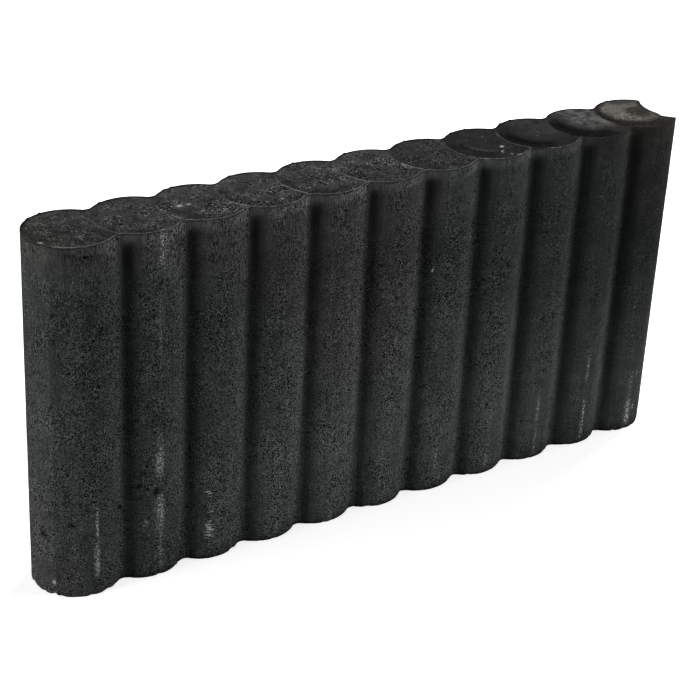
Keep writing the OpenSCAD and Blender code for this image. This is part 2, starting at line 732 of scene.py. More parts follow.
# the columns' tone falls off towards the groove end: partly their own tone, partly painted light
FACES = (
    Face(tone=0.96, brighter_base=0.24, grey=232.0),
    Face(tone=1.10, brighter_base=0.12, grey=226.0),
    Face(tone=1.09, brighter_base=0.32, grey=208.0),
    Face(tone=1.02, brighter_base=0.56, start=214.0, grey=172.0),
    Face(tone=1.08, brighter_base=0.58, start=214.0, grey=108.0),
    Face(tone=1.00, brighter_base=0.64, start=222.0, grey=104.0),
    Face(tone=0.98, brighter_base=0.58, start=208.0, grey=262.0),
    Face(tone=0.88, brighter_base=0.70, start=190.0),
    Face(tone=0.77, brighter_base=0.84, start=168.0, grey=242.0),
    Face(tone=0.60, brighter_base=0.86, start=162.0, grey=236.0),
    Face(tone=0.51, brighter_base=1.08, start=162.0, grey=172.0),
)


@dataclass(frozen=True)
class Run:
    """A mark on the front of a column, such as a streak of lime.

    Args:
        column: the column's number, from 1 at the round end.
        across: how far it lies to the right of the column's crest, along the face.
        low, high: its lower and upper end.
        width: its half width.
        strength: from 0 to about 1.
    """

    column: int
    across: float
    low: float
    high: float
    width: float
    strength: float


LIME = (
    Run(1, 0.7, 15.0, 39.0, 2.4, 0.82),
    Run(1, 0.8, 38.0, 68.0, 1.7, 0.60),
    Run(2, 1.2, 88.0, 108.0, 4.2, 0.46),
    Run(2, 1.0, 76.0, 92.0, 4.4, 0.70),
    Run(2, 1.5, 36.0, 62.0, 4.2, 0.64),
    Run(2, 1.9, 6.0, 40.0, 2.6, 0.48),
    Run(2, 1.5, 164.0, 210.0, 3.0, 0.36),
    Run(2, 3.2, 221.0, 249.0, 4.8, 0.44),
    Run(2, 8.5, 212.0, 244.0, 2.4, 0.26),
    Run(2, -9.0, 40.0, 45.0, 2.2, 0.60),
    Run(5, 0.0, 0.0, 9.0, 2.6, 0.50),
    Run(7, -1.0, 12.0, 34.0, 1.8, 0.42),
    Run(8, 0.0, 6.0, 18.0, 2.2, 0.46),
    Run(9, 0.8, 2.0, 52.0, 2.0, 0.44),
    Run(10, 1.0, 5.0, 37.0, 1.8, 0.56),
    Run(10, 1.0, 54.0, 74.0, 1.5, 0.52),
    Run(11, 1.4, 3.0, 50.0, 3.2, 0.36),
    Run(11, 1.6, 4.0, 24.0, 3.8, 0.62),
    Run(11, 7.6, 15.0, 19.0, 1.4, 0.75),
    Run(11, 7.5, 45.0, 49.0, 1.5, 0.60),
)

DASHES = (
    Run(3, -7.1, 49.0, 57.0, 3.2, 0.95),
    Run(3, -5.4, 35.0, 39.5, 2.4, 0.95),
    Run(3, -7.0, 17.0, 31.0, 4.4, 1.10),
    Run(3, -3.0, 9.0, 18.0, 2.6, 0.95),
)

DOTS = (
    Run(7, -14.0, 176.0, 178.0, 0.9, 0.95),
    Run(8, 5.8, 172.0, 175.0, 0.8, 0.80),
    Run(3, 9.3, 166.0, 168.0, 0.8, 0.75),
    Run(3, 2.0, 186.0, 188.0, 0.8, 0.70),
    Run(1, -28.6, 8.5, 13.5, 1.4, 0.95),
    Run(1, -40.7, 177.0, 179.0, 0.8, 0.80),
    Run(9, 6.0, 212.0, 214.0, 0.7, 0.65),
)

SCARS = (
    Run(1, -3.0, 240.6, 243.2, 10.0, 0.74),
    Run(1, -15.0, 243.4, 245.4, 6.0, 0.7),
    Run(1, -26.2, 202.0, 205.0, 3.2, 0.7),
    Run(1, -2.0, 197.5, 200.5, 3.4, 0.9),
    Run(1, 5.2, 190.0, 194.0, 2.6, 0.8),
    Run(1, -24.5, 183.0, 190.0, 2.6, 0.7),
    Run(2, -1.5, 206.0, 212.0, 3.2, 0.7),
    Run(1, -18.5, 70.0, 80.0, 4.5, 0.6),
    Run(1, -16.3, 54.4, 55.8, 4.2, 1.0),
    Run(1, -36.4, 42.0, 49.0, 4.0, 0.7),
    Run(1, -29.2, 61.0, 64.0, 3.6, 0.7),
    Run(1, 22.7, 54.0, 60.0, 1.6, 0.9),
    Run(2, -14.4, 70.0, 71.4, 5.5, 1.0),
    Run(2, -15.5, 59.0, 63.0, 4.0, 0.8),
    Run(2, -1.2, 62.0, 69.0, 3.4, 0.9),
    Run(8, 5.8, 166.0, 171.0, 3.0, 0.8),
    Run(9, -1.0, 63.0, 66.0, 6.5, 0.8),
    Run(9, 3.0, 71.0, 76.0, 7.0, 0.6),
    Run(11, -15.9, 68.5, 71.0, 1.1, 1.0),
    Run(8, -2.9, 54.5, 58.5, 1.6, 0.9),
    Run(9, -11.7, 32.0, 35.5, 1.8, 0.8),
)


@dataclass(frozen=True)
class Marks:
    """Lime, scars, tone with its painted light and shade, and grain of the walls, each as a strength at
    every place.

    The fields are shares of the plain tone or grain that each part adds (glow, pale, more) or takes
    away (shade, less), and the places and widths of the valleys' painted shade across the column.
    """

    plan: Plan
    valley_at: float = -0.405
    valley_w: float = 0.078
    valley_wider: float = 0.04
    valley_outer_w: float = 0.068
    valley_shade: float = 0.42
    valley_upper_shade: float = 0.20
    right_glow: float = 0.23
    far_right_glow: float = 0.08
    right_edge_shade: float = 0.36
    bottom_shade: float = 0.16
    upper_shade: float = 0.10
    left_glow: float = 0.10
    brighter_base_reach: float = 130.0
    end_brighter_base: float = 0.25
    end_shade: float = 0.14
    first_glow: float = 0.13
    middle_glow: float = 0.16
    middle_glow_more: float = 0.20
    middle_glow_less: float = 0.36
    middle_foot_less: float = 0.06
    foot_shade: float = 0.25
    toe_shade: float = 0.55
    rim_shade: float = 0.32
    last_rim_shade: float = 0.12
    strip_glow: float = 0.45
    strip_right_more: float = 0.20
    strip_left_less: float = 0.15
    strip_far_less: float = 0.4
    lip_glow: float = 0.90
    pale: float = 0.07
    right_painted_light: float = 0.12
    pale_high_less: float = 0.13
    pale_low_less: float = 0.09
    end_spot_shade: float = 0.22
    grain_left: float = 0.5
    grain_upper_left_less: float = 0.45
    grain_end_less: float = 0.28
    grain_front_more: float = 0.18
    grain_right_more: float = 0.28
    grain_far_less: float = 0.42
    grain_last_less: float = 0.18
    grain_high_less: float = 0.3
    grey_fade: float = 24.0
    end_stain: float = 0.42
    last_stain: float = 0.32
    seam_stain: float = 0.30

    def draw(self, marks: tuple[Run, ...], run: Array, z: Array, fade: float) -> Array:
        """Strength at each place of the wall, the strongest of all the marks there.

        Each mark is a bell curve across, times an eased share along Z at both ends.

        Args:
            marks: the marks.
            run: length along the front edge.
            z: height.
            fade: how far the ends fade out.

        Returns:
            Values from 0.
        """
        edge = self.plan.front_edge()
        total = np.zeros(np.broadcast(run, z).shape)
        for mark in marks:
            crest = np.interp(self.plan.axis(mark.column - 1), edge["x"], edge["run"])
            along = ease(mark.low - fade, mark.low + 0.5 * fade, z)
            along = along * ease(mark.high + fade, mark.high - 0.5 * fade, z)
            total = np.maximum(total, mark.strength * bell(run - crest - mark.across, mark.width) * along)
        return total

    def of_faces(self, field: str, x: Array) -> Array:
        """One value of Face at each place along X, drawn straight from column to column."""
        axis = self.plan.axis(np.arange(self.plan.columns))
        return np.interp(x, axis, [getattr(face, field) for face in FACES])

    def tone(self, x: Array, z: Array) -> Array:
        """Brightness of the wall, painted light and shade included: the product of its shares round,
        down, under the rim and along.

        Args:
            x: place along the block.
            z: height.

        Returns:
            Shares of the plain tone.
        """
        phase = self.plan.phase(x)
        parts = (self.tone_down, self.tone_round, self.tone_at_rim, self.tone_along)
        return math.prod(part(x, z, phase) for part in parts)

    def tone_round(self, x: Array, z: Array, phase: Array) -> Array:
        """Brightness round a column.

        It rises by eased shares towards the right flank, as painted light, and sinks in a narrow bell
        of painted shade where a valley meets the column's left flank. That bell is wider and starts lower
        towards the groove end.

        Args:
            x, z: place along the block and height.
            phase: place across the column.

        Returns:
            Shares of the plain tone.
        """
        far_end = ease(100.0, 130.0, x)
        # painted shade in a narrow bell where the valley meets the column's left flank
        off_valley = phase - self.valley_at
        inner = bell(off_valley, self.valley_w + self.valley_wider * far_end)
        valley = np.where(off_valley < 0.0, bell(off_valley, self.valley_outer_w, 4), inner)
        valley = valley * (x > self.plan.first_axis + self.plan.pitch / 2)
        deep = self.valley_shade * ease(20.0 - 15.0 * far_end, 120.0 - 60.0 * far_end, z)
        upper = self.valley_upper_shade * ease(212.0, 234.0, z) * (1.0 - 0.8 * ease(98.0, 116.0, x))
        deep = (deep + upper) * ease(246.0, 238.0, z)
        # painted light on the right flank, and painted shade at its right edge where it turns into the
        # valley, up to just under the rim
        flank = self.right_glow * ease(0.12, 0.40, phase) + self.far_right_glow * ease(0.40, 0.45, phase)
        flank = flank - self.right_edge_shade * ease(0.455, 0.50, phase) * ease(245.0, 237.0, z)
        # painted shade low in the valleys, a darker band high on the middle of the front, and painted light
        # low on the left flank
        bottom = 1.0 - self.bottom_shade * ease(45.0, 15.0, z) * ease(0.43, 0.50, np.abs(phase))
        high = ease(214.0, 230.0, z) * ease(-0.15, 0.05, phase) * ease(150.0, 110.0, x)
        left = 1.0 + self.left_glow * bell(phase + 0.30, 0.07) * ease(140.0, 60.0, z)
        return (1.0 + flank - deep * valley) * bottom * (1.0 - self.upper_shade * high) * left

    def tone_down(self, x: Array, z: Array, phase: Array) -> Array:
        """Brightness down the height.

        From the column's start it grows brighter downward by an eased share. The middle of each
        front is brighter still near the base, but for the last columns, and painted shadow darkens the foot.

        Args:
            x, z: place along the block and height.
            phase: place across the column.

        Returns:
            Shares of the plain tone.
        """
        first = self.plan.first_axis
        start = self.of_faces("start", x) + 14.0 * ease(0.05, 0.35, phase) * ease(90.0, 140.0, x)
        end = ease(first - 12.0, first - 26.0, x)
        brighter_base = self.of_faces("brighter_base", x) + self.end_brighter_base * end
        tall = 1.0 + brighter_base * ease(0.0, 1.0, (start - z) / self.brighter_base_reach)
        tall = tall * (1.0 - self.end_shade * end)
        tall = tall * (1.0 + self.first_glow * ease(first + 2.0, first - 14.0, x))
        middle = self.middle_glow + self.middle_glow_more * ease(-140.0, -100.0, x)
        middle = middle - self.middle_glow_less * ease(115.0, 150.0, x)
        middle = middle - self.middle_foot_less * ease(45.0, 20.0, z)
        low = 1.0 + middle * ease(100.0, 45.0, z) * bell(phase + 0.03, 0.26)
        beyond_first = ease(first + 5.0, first + 25.0, x)
        # painted shadow along the foot, where the block meets the floor, reaching higher from the middle of
        # each front to its right
        foot = 1.0 - self.foot_shade * ease(10.0, 5.0, z) * ease(-0.30, -0.15, phase) * beyond_first
        foot = foot * (1.0 - self.toe_shade * ease(3.6, 1.0, z) * beyond_first)
        return self.of_faces("tone", x) * tall * low * foot

    def tone_at_rim(self, x: Array, z: Array, phase: Array) -> Array:
        """Brightness just under the rim.

        A strip of painted highlight runs round each front, stronger on its right, with a brighter
        painted highlight on the lip at its left in the valley, and the last columns darken towards the rim.

        Args:
            x, z: place along the block and height.
            phase: place across the column.

        Returns:
            Shares of the plain tone.
        """
        first = self.plan.first_axis
        on_last = x > self.plan.axis(self.plan.last - 0.5)
        dark = 1.0 - self.rim_shade * ease(236.0, 245.0, z) * ease(150.0, 180.0, x)
        dark = dark * (1.0 - self.last_rim_shade * ease(232.0, 240.0, z) * ease(205.0, 215.0, x))
        off_seam = ease(0.50, 0.46, np.abs(phase))
        # painted highlight along the top of the wall, under the rim
        strip = self.strip_glow + self.strip_right_more * ease(0.0, 0.20, phase)
        strip = strip - self.strip_left_less * ease(-0.10, -0.22, phase)
        strip = strip * (1.0 - self.strip_far_less * ease(160.0, 172.0, x))
        strip = strip * off_seam * ease(first - 2.0, first + 10.0, x)
        strip = strip * np.where(on_last, ease(-0.20, -0.05, phase), 1.0)
        # painted highlight on the valley's lip, where it flares out under the rim
        lip = self.lip_glow * bell(phase + 0.40, 0.07) * off_seam
        lip = lip * ease(first, first + 10.0, x) * ~on_last
        return dark * (1.0 + strip * ease(240.5, 244.5, z) + lip * ease(242.2, 245.6, z))

    def tone_along(self, x: Array, z: Array, phase: Array) -> Array:
        """Brightness from one end of the block to the other.

        The first five columns are a little paler, with painted light added on their right flanks, and
        less so near the top and the base. The round end has a dark place near the top.

        Args:
            x, z: place along the block and height.
            phase: place across the column.

        Returns:
            Shares of the plain tone.
        """
        first = self.plan.first_axis
        first_columns = ease(-8.0, -26.0, x)
        right = ease(0.25, 0.38, phase)
        high = ease(212.0, 228.0, z) * right + ease(185.0, 225.0, z) * ease(-0.20, -0.32, phase)
        less = self.pale_high_less * high + self.pale_low_less * ease(45.0, 25.0, z) * right
        # a little paler, with painted light added on the right flanks
        pale = (self.pale + self.right_painted_light * ease(0.0, 0.20, phase)) * first_columns * (x > first)
        pale = (1.0 + pale) * (1.0 - first_columns * ease(first + 18.0, first + 26.0, x) * less)
        return pale * (1.0 - self.end_spot_shade * bell(x - first + 14.0, 8.0) * ease(180.0, 215.0, z))

    def rough(self, x: Array, z: Array) -> Array:
        """Strength of the grain.

        It is less on the left flanks, under the rim and on the last columns, and more on the first
        ones' right flanks. The round end has its own eased share.

        Args:
            x: place along the block.
            z: height.

        Returns:
            Shares of the full grain.
        """
        phase, first = self.plan.phase(x), self.plan.first_axis
        flank = self.grain_left + (1.0 - self.grain_left) * ease(-0.36, -0.12, phase)
        upper_left = ease(205.0, 216.0, z) * ease(-0.10, -0.22, phase)
        flank = flank * (1.0 - self.grain_upper_left_less * upper_left)
        round_end = ease(first - 3.0, first - 13.0, x) * ease(105.0, 125.0, z)
        flank = np.where(x < first + 10.0, 1.0 - self.grain_end_less * round_end, flank)
        more = self.grain_front_more * ease(-0.30, -0.12, phase)
        more = more + self.grain_right_more * ease(0.0, 0.28, phase)
        first_columns = 1.0 + more * ease(-8.0, -26.0, x) * (x > first)
        last = 1.0 - self.grain_far_less * ease(60.0, 125.0, x)
        last = last - self.grain_last_less * ease(155.0, 170.0, x)
        smooth = ease(200.0, 214.0, z) * ease(25.0, 35.0, x) * ease(112.0, 104.0, x)
        smooth = self.grain_high_less * (ease(205.0, 240.0, z) + smooth)
        return flank * first_columns * last * (1.0 - smooth)

    def neutral(self, x: Array, z: Array) -> Array:
        """Where the wall is a plain grey: above each column's own height, and low on the round end.

        Args:
            x, z: place along the block and height.

        Returns:
            Shares from 0 to 1.
        """
        first = self.plan.first_axis
        above = ease(0.0, 1.0, (z - self.of_faces("grey", x)) / self.grey_fade + 0.5)
        low_left = ease(first - 4.0, first - 12.0, x) * ease(36.0, 24.0, z)
        outermost = ease(first - 24.0, first - 27.0, x) * ease(85.0, 65.0, z)
        return np.maximum(above, np.maximum(low_left, outermost))

    def stained(self, x: Array, z: Array, front: Array) -> Array:
        """Olive stain under the rim: on the round end, under the last top and beside its seam.

        Args:
            x, z: place along the block and height.
            front: 1 on the front edge.

        Returns:
            Shares from 0 to 1.
        """
        first, last = self.plan.first_axis, self.plan.axis(self.plan.last)
        round_end = self.end_stain * ease(first - 15.0, first - 26.0, x) * ease(222.0, 246.0, z)
        under_last = self.last_stain * ease(last - 23.0, last - 15.0, x) * ease(233.0, 240.0, z)
        beside_last = self.seam_stain * ease(last - 46.0, last - 36.0, x) * ease(240.0, 245.0, z)
        return np.maximum(round_end, np.maximum(under_last, beside_last) * front)


# ---------------------------------------------------------------------------------------------
# The block
# ---------------------------------------------------------------------------------------------


@dataclass
class Block:
    """The whole cast block as one closed skin.

    The fields are depths, widths and lengths of fade in millimetres, and shares of them.
    """

    plan: Plan
    top: TopRelief
    base_wear: float = 0.35
    least_wear: float = 0.3
    ragged_wear: float = 0.7
    nick: float = 1.9
    nick_from: float = 0.05
    nick_full: float = 0.75
    lip: float = 0.5
    lip_from: float = 11.0
    lip_full: float = 4.5
    lip_end: float = 12.0
    skin: float = 0.12
    scar_depth: float = 0.5
    # a thin line of painted shade under the front burr: its place, width, strength and spread
    under_burr_shade_at: float = 0.85
    under_burr_shade_w: float = 0.34
    under_burr_shade: float = 0.42
    under_burr_shade_uneven: float = 0.8
    under_burr_shade_more: float = 0.25
    under_burr_shade_most: float = 0.6
    rim_blend: float = 1.55
    burr_from: float = 0.85
    burr_full: float = 0.10
    lime_fade: float = 4.0
    dot_fade: float = 0.8
    scar_fade: float = 0.9
    dash_fade: float = 2.5
    least_drag: float = 0.35
    drag: float = 0.10
    swell: float = 0.14
    drag_lines: Grain = Grain(29.0, 3, (2.6, 2.6, 70.0))
    swells: Grain = Grain(41.0, 2, (14.0, 14.0, 22.0))
    chips: Grain = Grain(57.0, 2, (5.0, 5.0, 1.0))
    nicks: Grain = Grain(57.0, 2, (3.4, 3.4, 1.0), move=(700.0, 0.0, 0.0))
    gaps: Grain = Grain(57.0, 2, (14.0, 1.0, 1.0), move=(0.0, 300.0, 0.0))

    def levels(self) -> Array:
        """Heights of the wall's rows, close together at the base, the scars and the rim.

        Returns:
            Shares of the height from 0 to 1.
        """
        low = np.array([0.0, 0.35, 0.8, 1.4, 2.2, 3.2, 4.6, 6.4, 8.8])
        high = self.top.height - np.array([9.5, 7.2, 5.4, 4.0, 2.9, 2.1, 1.5, 1.05, 0.7, 0.4, 0.0])
        stretches = ((11.4, 80.0, 23), (83.0, 157.0, 11), (160.0, 214.0, 17), (218.0, 237.0, 6))
        middle = [np.linspace(start, stop, count) for start, stop, count in stretches]
        return np.concatenate([low, *middle, high]) / self.top.height

    def ring(self) -> dict[str, Array]:
        """The edge of the plan as one closed ring: front, groove, back and round end.

        Returns:
            Arrays x, y, out_x, out_y (the outward direction), front (1 on the front edge) and run,
            the length along the front edge. On the other sides run goes on far from any mark, but
            on the round end, where it is the arc's length from the first column's crest.
        """
        edge = self.plan.front_edge()
        net_x, net_y = self.plan.net()
        x, y, out_x, out_y = edge["x"], edge["y"], edge["out_x"], edge["out_y"]
        groove_x, groove_y, left_x, left_y = net_x[-1], net_y[-1], net_x[0], net_y[0]
        groove_out = np.stack([self.plan.axis(self.plan.columns) - groove_x, -groove_y]) / self.plan.groove_r
        left_out = np.stack([left_x - self.plan.first_axis, left_y]) / self.plan.column_r
        turn = np.arctan2(-left_y, self.plan.first_axis - left_x) - np.pi / 2
        left_run = np.interp(self.plan.first_axis, x, edge["run"]) + self.plan.column_r * turn
        away = np.full(groove_x.size, -1e4)

        def joined(front: Array, groove: Array, back: Array, left: Array) -> Array:
            """The four sides as one ring, each without the point where the next one starts."""
            return np.concatenate([front[:-1], groove[:-1], back[:0:-1], left[:0:-1]])

        nx = joined(out_x, groove_out[0], out_x, left_out[0])
        ny = joined(out_y, groove_out[1], -out_y, left_out[1])
        for tip in (x.size - 1, x.size + groove_x.size - 2):
            nx[tip] = nx[tip - 1] + nx[tip + 1]
            ny[tip] = ny[tip - 1] + ny[tip + 1]
        size = np.hypot(nx, ny)
        ring_x = joined(x, groove_x, x, left_x)
        return {
            "x": ring_x,
            "y": joined(y, groove_y, -y, left_y),
            "out_x": nx / size,
            "out_y": ny / size,
            "run": joined(edge["run"], away, edge["run"] - 2e4, left_run),
            "front": (np.arange(ring_x.size) < x.size).astype(float),
        }

    def wall_relief(self, ring: dict[str, Array], z: Array, scars: Array) -> Array:
        """How far each place of the wall lies inside the true outline.

        Drag lines are noise drawn out along Z, stronger towards the top. The swell is slow noise.
        The base's edge is worn to a quarter circle of a ragged radius w, larger at nicks and chips:
        at height z below w the wall lies in by w - sqrt(w^2 - (w - z)^2). Under the rim, each
        valley fills out by an eased share to a shallow lip.

        Args:
            ring: the plan's edge.
            z: heights, one row per level and one column per place on the ring.
            scars: strength of the scars there.

        Returns:
            Distances, never under zero but in the lips.
        """
        x, y = ring["x"], ring["y"]
        upper = self.least_drag + (1.0 - self.least_drag) * ease(110.0, 240.0, z)
        drag = self.drag_lines.at(x, y, z) * self.drag * upper
        swell = self.swells.at(x, y, z) * self.swell
        chip = self.chips.at(x, y)
        wear = self.base_wear * (1.0 + self.ragged_wear * chip)
        for worn in BASE_CHIPS:
            wear = wear + worn.height * bell(x - worn.x, worn.width) * (y < worn.y) * (0.7 + 1.6 * chip)
        nicks = ease(self.nick_from, self.nick_full, self.nicks.at(x, y))
        wear = np.maximum(wear, self.least_wear) + self.nick * nicks
        below = np.clip(wear - z, 0.0, None)
        corner = wear - np.sqrt(np.maximum(wear**2 - below**2, 0.0))
        inner = (np.abs(x) < self.plan.half_length - self.lip_end) * (y < 0.0)
        lip = self.lip * inner * ease(2.0, 8.0, self.plan.column_r - np.abs(y))
        lip = lip * ease(self.top.height - self.lip_from, self.top.height - self.lip_full, z)
        return np.maximum(self.skin + drag + swell, 0.01) + corner + self.scar_depth * scars - lip

    def sides(self, stations: int, lines: int) -> tuple[tuple[Array, tuple], ...]:
        """Pairs of places on the ring and the part of the net's edge that lies there.

        Args:
            stations: rows of the net.
            lines: columns of the net.

        Returns:
            The front, the groove, the back and the round end.
        """
        step, line = np.arange(stations), np.arange(lines)
        count = 2 * (stations + lines) - 4
        return (
            (step, np.s_[:, 0]),
            (stations - 1 + line, np.s_[-1, :]),
            (count + 1 - lines - step, np.s_[:, -1]),
            ((count - line) % count, np.s_[0, :]),
        )

    def faces(self, rows: int, stations: int, lines: int) -> list[list[int]]:
        """Joins the wall's rows, the net's crossings and the base into closed faces.

        The wall's points come first, row by row, and then the net's inner crossings.

        Args:
            rows: rows of the wall.
            stations: rows of the net.
            lines: columns of the net.

        Returns:
            The points of each face, with the base last.
        """
        count = 2 * (stations + lines) - 4
        step = np.arange(count)
        after = (step + 1) % count
        row = (np.arange(rows - 1) * count)[:, None]
        walls = np.stack([row + step, row + after, row + count + after, row + count + step], axis=-1)
        grid = np.empty((stations, lines), dtype=int)
        inner = np.arange((stations - 2) * (lines - 2)).reshape(stations - 2, lines - 2)
        grid[1:-1, 1:-1] = rows * count + inner
        for places, part in self.sides(stations, lines):
            grid[part] = (rows - 1) * count + places
        tops = np.stack([grid[:-1, :-1], grid[1:, :-1], grid[1:, 1:], grid[:-1, 1:]], axis=-1)
        return [*np.concatenate([walls.reshape(-1, 4), tops.reshape(-1, 4)]).tolist(), step[::-1].tolist()]

    def wall_masks(self, ring: dict[str, Array], rim: dict[str, Array], z: Array) -> dict[str, Array]:
        """The walls' masks. In the last millimetre and a half they pass to those of the rim.

        Args:
            ring: the plan's edge.
            rim: height and masks of the top, read along the ring.
            z: heights, one row per level and one column per place on the ring.

        Returns:
            One array per mask, the same shape as z.
        """
        marks, x, run = Marks(self.plan), ring["x"], ring["run"]
        below = rim["z"] - z
        at_rim = ease(self.rim_blend, 0.0, below)
        far_end = ease(70.0, 100.0, x)
        # painted shade: a thin dark line just under the burr along the front, broken by slow noise and
        # deeper towards the groove end
        under_burr_shade = self.under_burr_shade + self.under_burr_shade_uneven * self.gaps.at(x, 0.0)
        under_burr_shade = under_burr_shade + self.under_burr_shade_more * far_end
        under_burr_shade = np.clip(under_burr_shade, 0.0, self.under_burr_shade_most + 0.15 * far_end) * ring["front"]
        under_burr_shade = under_burr_shade * bell(below - self.under_burr_shade_at, self.under_burr_shade_w)
        tone = marks.tone(x, z) * (1.0 - under_burr_shade)
        masks = {
            "wall": 1.0 - at_rim,
            "lime": np.maximum(
                marks.draw(LIME, run, z, self.lime_fade), marks.draw(DOTS, run, z, self.dot_fade)
            ),
            "scar": marks.draw(SCARS, run, z, self.scar_fade),
            "dashes": marks.draw(DASHES, run, z, self.dash_fade),
            "drag": ease(195.0, 235.0, z),
            "tone": tone * (1.0 - at_rim) + rim["tone"] * at_rim,
            "rough": marks.rough(x, z),
            "neutral": marks.neutral(x, z),
            "burr": rim["burr"] * ease(self.burr_from, self.burr_full, below),
        }
        masks.update({name: rim[name] * at_rim for name in ("seam", "dust", "brown", "coarse")})
        masks["brown"] = masks["brown"] + marks.stained(x, z, ring["front"]) * (1.0 - at_rim)
        return masks

    def build(self) -> bpy.types.Object:
        """Joins wall, top and base into one closed mesh, with its masks as attributes.

        Returns:
            The block's object.
        """
        ring = self.ring()
        net_x, net_y = self.plan.net()
        top = self.top.build(net_x, net_y, self.plan.rim_gap(net_x, net_y))
        rim = {name: np.empty(ring["x"].size) for name in top}
        for places, part in self.sides(*net_x.shape):
            for name, values in top.items():
                rim[name][places] = values[part]
        z = self.levels()[:, None] * rim["z"]
        masks = self.wall_masks(ring, rim, z)
        relief = self.wall_relief(ring, z, masks["scar"])
        inner = np.s_[1:-1, 1:-1]
        wall_x = ring["x"] - relief * ring["out_x"]
        wall = np.stack([wall_x, ring["y"] - relief * ring["out_y"], z], axis=-1)
        middle = np.stack([net_x[inner], net_y[inner], top["z"][inner]], axis=-1).reshape(-1, 3)
        points = np.concatenate([wall.reshape(-1, 3), middle]) * MM

        faces = self.faces(z.shape[0], *net_x.shape)
        mesh = bpy.data.meshes.new("palisade_block")
        mesh.from_pydata(points.tolist(), [], faces)
        smooth = np.ones(len(faces), dtype=bool)
        smooth[-1] = False
        mesh.polygons.foreach_set("use_smooth", smooth)
        for name, values in masks.items():
            above = top[name][inner].ravel() if name in top else np.zeros(middle.shape[0])
            layer = mesh.attributes.new(name, "FLOAT", "POINT")
            layer.data.foreach_set("value", np.concatenate([values.ravel(), above]).astype(np.float32))
        mesh.update()
        block = bpy.data.objects.new("palisade_block", mesh)
        bpy.context.scene.collection.objects.link(block)
        return block


# ---------------------------------------------------------------------------------------------
# Finish
# ---------------------------------------------------------------------------------------------


class Sum(Enum):
    """What a Math node does."""

    ADD = "ADD"
    SUBTRACT = "SUBTRACT"
    MULTIPLY = "MULTIPLY"
    LARGER = "MAXIMUM"
    SIZE = "ABSOLUTE"
    ROOT = "SQRT"
    WRAP = "WRAP"


class Kind(Enum):
    """What a Mix node puts together."""

    COLOURS = "RGBA"
    NUMBERS = "FLOAT"


EVEN: Size = (1.0, 1.0, 1.0)


@dataclass(frozen=True)
class Pattern:
    """A noise of the finish, and how it is read.

    Args:
        scale: about how many blobs there are in a millimetre.
        detail: octaves.
        rough: strength of each octave against the one before.
        low, high: the noise, from 0 to 1, at which the pattern begins and is full.
        least, most: what the pattern gives there.
        stretch: what each axis is multiplied by.
    """

    scale: float
    detail: float
    rough: float
    low: float = 0.0
    high: float = 1.0
    least: float = 0.0
    most: float = 1.0
    stretch: Size = EVEN


@dataclass(frozen=True)
class Scatter:
    """A pattern that passes a bar, which sinks as a mask grows.

    Args:
        pattern: its low and high are measured from the bar.
        bar: height of the bar where the mask is 0.
        fall: how far it sinks where the mask is 1.
    """

    pattern: Pattern
    bar: float
    fall: float


